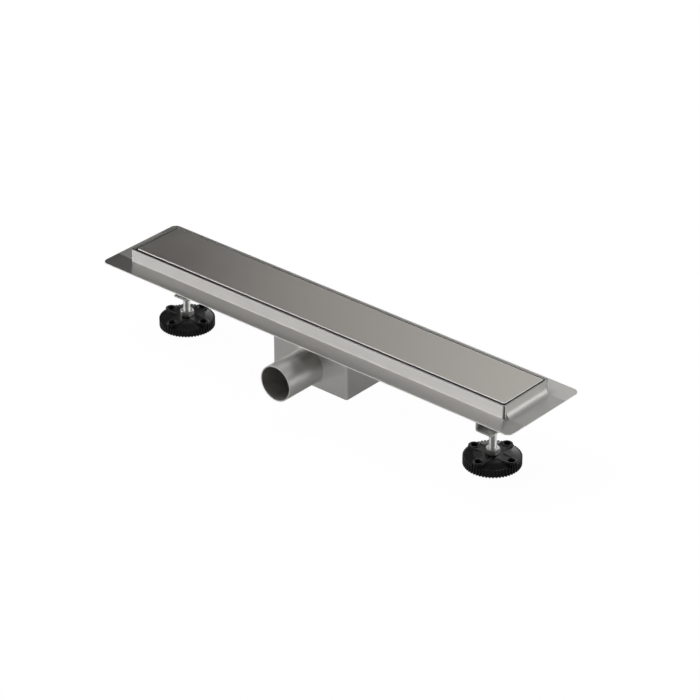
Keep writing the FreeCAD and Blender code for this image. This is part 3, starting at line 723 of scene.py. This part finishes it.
@dataclass
class LevellingFoot:
    """Bracket, welded nut, threaded stud with its lock nut, and the toothed foot at one end."""

    side: Side
    steel: BrushedSteel
    zinc: ZincedSteel
    nut_zinc: ZincedSteel
    plastic: MouldedPlastic
    pitch: float = 1.5 * MM
    thread_depth: float = 0.3 * MM
    crest_share: float = 0.1
    flank_share: float = 0.72
    turn_points: int = 40
    rows_a_pitch: int = 12
    chamfer: float = 1.0 * MM
    nut_across: float = 17.0 * MM
    nut_shoulder: float = 8.1 * MM
    nut_bore: float = 5.0 * MM
    nut_points: int = 144
    bore_flare: float = 0.5 * MM
    shoulder_slope: float = 30.0
    screw_circle: float = 59.6 * MM
    screw_hole: float = 9.0 * MM
    arm_width: float = 15.6 * MM
    hub_radius: float = 11.0 * MM
    sink: float = 0.1 * MM
    lip_width: float = 1.4 * MM
    lip_rise: float = 0.8 * MM
    lip_least: float = 0.05 * MM
    lip_sinks: float = 12.0
    lip_points: int = 25
    eye_width: float = 3.2 * MM
    eye_rise: float = 1.0 * MM
    eye_points: int = 48
    across_points: int = 9

    def centre(self, node: str) -> tuple[float, float, float, float]:
        """Axis and ends of a round or hexagonal node.

        Args:
            node: name of the node.

        Returns:
            Place of the axis on X and Y, and the lowest and highest point.
        """
        low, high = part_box(node)
        return (low.x + high.x) / 2, (low.y + high.y) / 2, low.z, high.z

    def threaded_stud(self) -> bpy.types.Object:
        """Stud with its thread.

        The radius at angle a and height z is crest - depth * w, where w is a wave of z / pitch - a / 2 pi
        with flat crests and roots, and never more than the cone of the end's chamfer.

        Returns:
            The stud.
        """
        x, y, low, high = self.centre(f"{self.side.value}_stud")
        crest = (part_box(f"{self.side.value}_stud")[1].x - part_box(f"{self.side.value}_stud")[0].x) / 2
        rows = int((high - low) / self.pitch * self.rows_a_pitch) + 1
        z = np.linspace(low, high, rows)[None, :]
        a = np.linspace(0.0, 2 * np.pi, self.turn_points, endpoint=False)[:, None]
        phase = (z - low) / self.pitch - a / (2 * np.pi)
        wave = np.abs(phase % 1.0 - 0.5) * 2
        wave = np.clip((wave - self.crest_share) / self.flank_share, 0.0, 1.0)
        ends = np.minimum(z - low, high - z)
        radius = np.minimum(crest - self.thread_depth * wave, crest - self.chamfer + ends)
        height = np.broadcast_to(z, radius.shape)
        ring = np.stack([x + radius * np.cos(a), y + radius * np.sin(a), height], axis=2)
        tips = np.stack([np.full((self.turn_points, 2), x), np.full((self.turn_points, 2), y),
                         np.tile([low, high], (self.turn_points, 1))], axis=2)
        grid = np.concatenate([tips[:, :1], ring, tips[:, 1:]], axis=1)
        name = f"{self.side.value}_threaded_stud"
        return surface(name, grid, closed=(True, False), smooth_angle=32.0)

    def hexagon_nut(self, node: str, label: str, corner_at: float) -> bpy.types.Object:
        """Nut with both faces turned down to a round shoulder.

        The side's radius at angle a is (across / 2) / cos(a'), with a' the angle from the nearest
        flat's middle, and each shoulder drops by (radius - shoulder) * tan 30 at the corners.

        Args:
            node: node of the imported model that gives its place.
            label: name of the new piece.
            corner_at: angle of a corner, in degrees.

        Returns:
            The nut.
        """
        x, y, low, high = self.centre(node)
        a = np.linspace(0.0, 2 * np.pi, self.nut_points, endpoint=False)
        from_flat = (a - math.radians(corner_at)) % (np.pi / 3) - np.pi / 6
        side = self.nut_across / 2 / np.cos(from_flat)
        shoulder = np.minimum(side, self.nut_shoulder)
        drop = np.maximum(side - self.nut_shoulder, 0.0) * math.tan(math.radians(self.shoulder_slope))
        steady = np.ones_like(a)
        bore, mouth = self.nut_bore * steady, (self.nut_bore + self.bore_flare) * steady
        bottom, top = low * steady, high * steady
        radius = np.stack([bore, mouth, shoulder, side, side, shoulder, mouth, bore], axis=1)
        height = np.stack([(low + self.bore_flare) * steady, bottom, bottom, low + drop, high - drop,
                           top, top, (high - self.bore_flare) * steady], axis=1)
        cos, sin = np.cos(a)[:, None], np.sin(a)[:, None]
        grid = np.stack([x + radius * cos, y + radius * sin, height], axis=2)
        return surface(label, grid, closed=(True, True), smooth_angle=20.0)

    def screw_eyes(self) -> bpy.types.Object:
        """Raised rims round the four screw holes.

        Each rim's section is half an ellipse on the arm's face, rise * sin b high and width * cos b
        across, carried round the hole; the four rims stand a quarter turn apart.

        Returns:
            The rims as one piece.
        """
        x, y, _, high = self.centre(f"{self.side.value}_foot")
        a = np.linspace(0.0, 2 * np.pi, self.eye_points, endpoint=False)[None, :, None]
        b = np.linspace(0.0, np.pi, self.across_points)[None, None, :]
        turn = np.arange(4)[:, None, None] * np.pi / 2
        middle = self.screw_hole / 2 + self.eye_width / 2
        radius = middle + self.eye_width / 2 * np.cos(b) + 0 * a
        height = high - self.sink + (self.eye_rise + self.sink) * np.sin(b) + 0 * a
        reach = self.screw_circle / 2 + radius * np.cos(a)
        aside = radius * np.sin(a)
        grid = np.stack([x + reach * np.cos(turn) - aside * np.sin(turn),
                         y + reach * np.sin(turn) + aside * np.cos(turn),
                         np.broadcast_to(height, (4, *height.shape[1:]))], axis=3)
        rims = []
        for number, ring in enumerate(grid):
            name = f"{self.side.value}_screw_eye_{number}"
            rims.append(surface(name, ring, closed=(True, True), smooth_angle=70.0))
        return self.joined(rims, f"{self.side.value}_screw_eyes")

    def arm_lips(self) -> bpy.types.Object:
        """Thin lips along both edges of the four arms.

        Each lip runs at the arm's edge from the hub to the screw eye; its section is half an ellipse,
        rise * sin b high and width * cos b across, that sinks at both ends.

        Returns:
            The lips as one piece.
        """
        x, y, _, high = self.centre(f"{self.side.value}_foot")
        share = np.linspace(0.0, 1.0, self.lip_points)[:, None]
        b = np.linspace(0.0, np.pi, self.across_points)[None, :]
        swell = np.clip(np.minimum(share, 1 - share) * self.lip_sinks, 0.0, 1.0)
        reach = self.hub_radius + share * (self.screw_circle / 2 - self.hub_radius) + 0 * b
        rise = self.lip_least + (self.lip_rise + self.lip_least) * swell
        height = high - self.sink + rise * np.sin(b)
        lips = []
        for arm in range(4):
            turn = arm * math.pi / 2
            for sign in (-1.0, 1.0):
                middle = sign * (self.arm_width / 2 - self.lip_width / 2)
                aside = middle + self.lip_width / 2 * np.cos(b) + 0 * share
                grid = np.stack([x + reach * math.cos(turn) - aside * math.sin(turn),
                                 y + reach * math.sin(turn) + aside * math.cos(turn), height], axis=2)
                first, last = grid[:1].copy(), grid[-1:].copy()
                first[..., 2] = last[..., 2] = high - self.sink
                name = f"{self.side.value}_arm_lip_{len(lips)}"
                whole = np.concatenate([first, grid, last])
                lips.append(surface(name, whole, closed=(False, True), smooth_angle=70.0))
        return self.joined(lips, f"{self.side.value}_arm_lips")

    def joined(self, pieces: list[bpy.types.Object], name: str) -> bpy.types.Object:
        """Put several pieces into the first one's mesh.

        Args:
            pieces: the pieces.
            name: name of the whole.

        Returns:
            The whole.
        """
        form = bmesh.new()
        for piece in pieces:
            form.from_mesh(piece.data)
        form.to_mesh(pieces[0].data)
        form.free()
        for piece in pieces[1:]:
            bpy.data.objects.remove(piece)
        pieces[0].data.shade_smooth()
        pieces[0].name = name
        return pieces[0]

    def build(self) -> None:
        """Make the stud, the nuts and the foot's relief, and dress the bracket and the foot."""
        side = self.side.value
        zinc = self.zinc.material()
        hand_over(self.threaded_stud(), f"{side}_stud", zinc, (f"{side}_stud",))
        weld = self.hexagon_nut(f"{side}_weld_nut", f"{side}_plate_nut", 0.0)
        nut_zinc = self.nut_zinc.material()
        hand_over(weld, "drain", nut_zinc, (f"{side}_weld_nut",))
        lock = self.hexagon_nut(f"{side}_lock_nut", f"{side}_hub_nut", 30.0)
        hand_over(lock, f"{side}_stud", nut_zinc, (f"{side}_lock_nut",))
        dress(self.steel.material(), f"{side}_bracket")
        plastic = self.plastic.material()
        dress(plastic, f"{side}_foot")
        hand_over(self.screw_eyes(), f"{side}_foot", plastic)
        hand_over(self.arm_lips(), f"{side}_foot", plastic)


@dataclass(frozen=True)
class SoftBox:
    """Studio lamp that faces the drain: bearing from +Y towards -X, and rise above the horizon."""

    name: str
    bearing: float
    rise: float
    size: tuple[float, float]
    radiance: float
    distance: float = 4.0

    def hang(self) -> None:
        """Put the lamp in the scene."""
        lamp = bpy.data.lights.new(self.name, "AREA")
        lamp.shape = "RECTANGLE"
        lamp.size, lamp.size_y = self.size
        lamp.energy = self.radiance * math.pi * self.size[0] * self.size[1]
        b, e = math.radians(self.bearing), math.radians(self.rise)
        way = Vector((-math.sin(b) * math.cos(e), math.cos(b) * math.cos(e), math.sin(e)))
        thing = bpy.data.objects.new(self.name, lamp)
        facing = way.to_track_quat("Z", "Y").to_matrix().to_4x4()
        thing.matrix_world = Matrix.Translation(way * self.distance) @ facing
        bpy.context.scene.collection.objects.link(thing)


@dataclass
class Studio:
    """Floor, lamps, world and camera."""

    lamps: tuple[SoftBox, ...] = (
        SoftBox("front_low_box", 140.0, 8.0, (5.04, 1.93), 3.1, 7.0),
        SoftBox("front_high_box", 140.0, 61.0, (1.41, 1.45), 4.9),
        SoftBox("left_box", 100.0, 24.0, (2.66, 1.1), 4.6),
        SoftBox("right_low_box", -60.0, 9.0, (3.2, 1.6), 2.8),
        SoftBox("right_back_box", -35.0, 32.0, (2.4, 1.6), 1.0),
        SoftBox("overhead_box", 0.0, 89.9, (2.2, 2.2), 2.4),
        SoftBox("back_low_box", 20.0, 8.0, (2.88, 1.1), 2.4),
        SoftBox("back_box", 22.0, 24.0, (2.7, 1.1), 0.5),
        SoftBox("back_high_box", 20.0, 41.0, (2.2, 1.3), 0.8))
    floor_height: float = -132.5 * MM
    floor_half: float = 9.0
    floor_lines: int = 3
    world_grey: float = 0.045
    camera_place: tuple[float, float, float] = (2.34427, -2.68511, 1.96106)
    turned: float = 40.75
    raised: float = 29.52
    lens: float = 160.8
    sensor: float = 36.0
    sight: float = 100.0

    def lay_floor(self) -> None:
        """Floor as one large flat grid."""
        span = np.linspace(-self.floor_half, self.floor_half, self.floor_lines)
        x, y = np.meshgrid(span, span, indexing="ij")
        grid = np.stack([x, y, np.full_like(x, self.floor_height)], axis=2)
        floor = surface("studio_floor", grid, closed=(False, False), smooth_angle=40.0)
        floor.data.materials.append(StudioFloor().material())

    def light(self) -> None:
        """Even grey world and the soft boxes."""
        world = bpy.data.worlds.new("studio")
        world.use_nodes = True
        world.node_tree.nodes["Background"].inputs[0].default_value = (self.world_grey,) * 3 + (1.0,)
        bpy.context.scene.world = world
        for lamp in self.lamps:
            lamp.hang()

    def aim_camera(self) -> None:
        """Camera where the photograph was taken from."""
        data = bpy.data.cameras.new("view")
        data.lens, data.sensor_width = self.lens, self.sensor
        data.clip_end = self.sight
        camera = bpy.data.objects.new("view", data)
        a, e = math.radians(self.turned), math.radians(self.raised)
        ahead = Vector((-math.sin(a) * math.cos(e), math.cos(a) * math.cos(e), -math.sin(e)))
        right = Vector((math.cos(a), math.sin(a), 0.0))
        up = right.cross(ahead)
        turn = Matrix((right, up, -ahead)).transposed().to_4x4()
        camera.matrix_world = Matrix.Translation(Vector(self.camera_place)) @ turn
        bpy.context.scene.collection.objects.link(camera)
        bpy.context.scene.camera = camera

    def set_up(self) -> None:
        """Floor, light, camera and the plain view transform."""
        self.lay_floor()
        self.light()
        self.aim_camera()
        bpy.context.scene.view_settings.view_transform = "Standard"


def main() -> None:
    """Build the drain's looks piece by piece and set up the studio."""
    logging.basicConfig(level=logging.INFO, format="%(message)s")
    Channel().dress_nodes()
    Cover().build()
    Outlet().build()
    Trap().dress_nodes()
    for side in Side:
        steel = BrushedSteel(f"stainless_bracket_{side.value}", Grain.ACROSS_CHANNEL)
        zinc = ZincedSteel(f"zinc_{side.value}")
        nut_zinc = ZincedSteel(
            f"nut_zinc_{side.value}", colour=(0.90, 0.89, 0.87), dull=(0.80, 0.79, 0.78), roughness=0.32)
        plastic = MouldedPlastic(f"foot_moulding_{side.value}")
        LevellingFoot(side, steel, zinc, nut_zinc, plastic).build()
    Studio().set_up()


if __name__ == "__main__":
    main()
